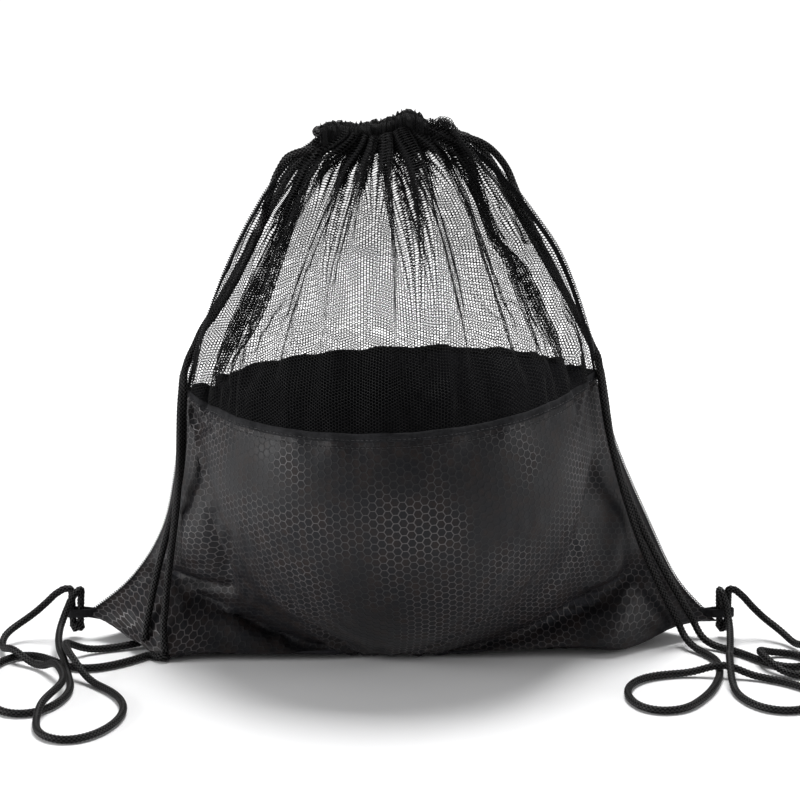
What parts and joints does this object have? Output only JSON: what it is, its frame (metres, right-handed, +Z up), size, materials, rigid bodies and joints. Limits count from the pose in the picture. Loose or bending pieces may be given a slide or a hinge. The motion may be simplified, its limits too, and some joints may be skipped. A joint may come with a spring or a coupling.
{
  "type": "mesh ball bag",
  "caption": "Drawstring sack holding the round shape of a ball: embossed coated lower half, see-through net upper half, cinched mouth, cord shoulder straps and corner tabs.",
  "frame": {"origin": "on the ground, straight under the centre of the ball space", "axes": "+Z up, front towards -Y, +X to the right seen from the front"},
  "size_m": [0.5176, 0.3264, 0.3385],
  "materials": {
    "coated_fabric": "satin coated oxford with an embossed honeycomb",
    "net": "matte warp-knit net",
    "binding": "matte folded hem and woven webbing",
    "cord": "matte braided cord",
    "thread": "matte sewing thread"
  },
  "bodies": {
    "bag": {"front_lower_panel": "coated_fabric", "front_join_band": "binding", "front_net_panel": "net", "back_lower_panel": "coated_fabric", "back_join_band": "binding", "back_net_panel": "net", "left_side_seam": "thread", "left_seam_tape": "binding", "right_side_seam": "thread", "right_seam_tape": "binding", "bottom_seam": "thread", "left_corner_tab": "binding", "left_knot": "cord", "right_corner_tab": "binding", "right_knot": "cord"},
    "front_mouth": {"front_casing": "net", "left_cord_front_run": "cord", "right_cord_front_run": "cord"},
    "back_mouth": {"back_casing": "net", "left_cord_back_run": "cord", "right_cord_back_run": "cord"},
    "left_strap": {"left_front_lead": "cord", "left_back_lead": "cord", "left_front_strap": "cord", "left_back_strap": "cord"},
    "right_strap": {"right_front_lead": "cord", "right_back_lead": "cord", "right_front_strap": "cord", "right_back_strap": "cord"},
    "left_slack": {"left_front_slack": "cord", "left_back_slack": "cord"},
    "right_slack": {"right_front_slack": "cord", "right_back_slack": "cord"}
  },
  "joints": [
    {"name": "front_mouth_open", "type": "hinge", "parent": "bag", "child": "front_mouth", "pos_m": [0, -0.102, 0.19], "axis": [1, 0, 0], "range_deg": [0, 14]},
    {"name": "back_mouth_open", "type": "hinge", "parent": "bag", "child": "back_mouth", "pos_m": [0, 0.102, 0.19], "axis": [-1, 0, 0], "range_deg": [0, 14]},
    {"name": "left_strap_swing", "type": "hinge", "parent": "bag", "child": "left_strap", "pos_m": [-0.0507, 0, 0.326], "axis": [0, 1, 0], "range_deg": [0, 30]},
    {"name": "right_strap_swing", "type": "hinge", "parent": "bag", "child": "right_strap", "pos_m": [0.0287, 0, 0.3356], "axis": [0, -1, 0], "range_deg": [0, 30]},
    {"name": "left_slack_swing", "type": "hinge", "parent": "bag", "child": "left_slack", "pos_m": [-0.203, 0, 0.024], "axis": [0, 0, -1], "range_deg": [0, 45]},
    {"name": "right_slack_swing", "type": "hinge", "parent": "bag", "child": "right_slack", "pos_m": [0.208, 0, 0.024], "axis": [0, 0, 1], "range_deg": [0, 45]}
  ],
  "couplings": [
    {"joint": "back_mouth_open", "follows": "front_mouth_open", "ratio": 1}
  ]
}
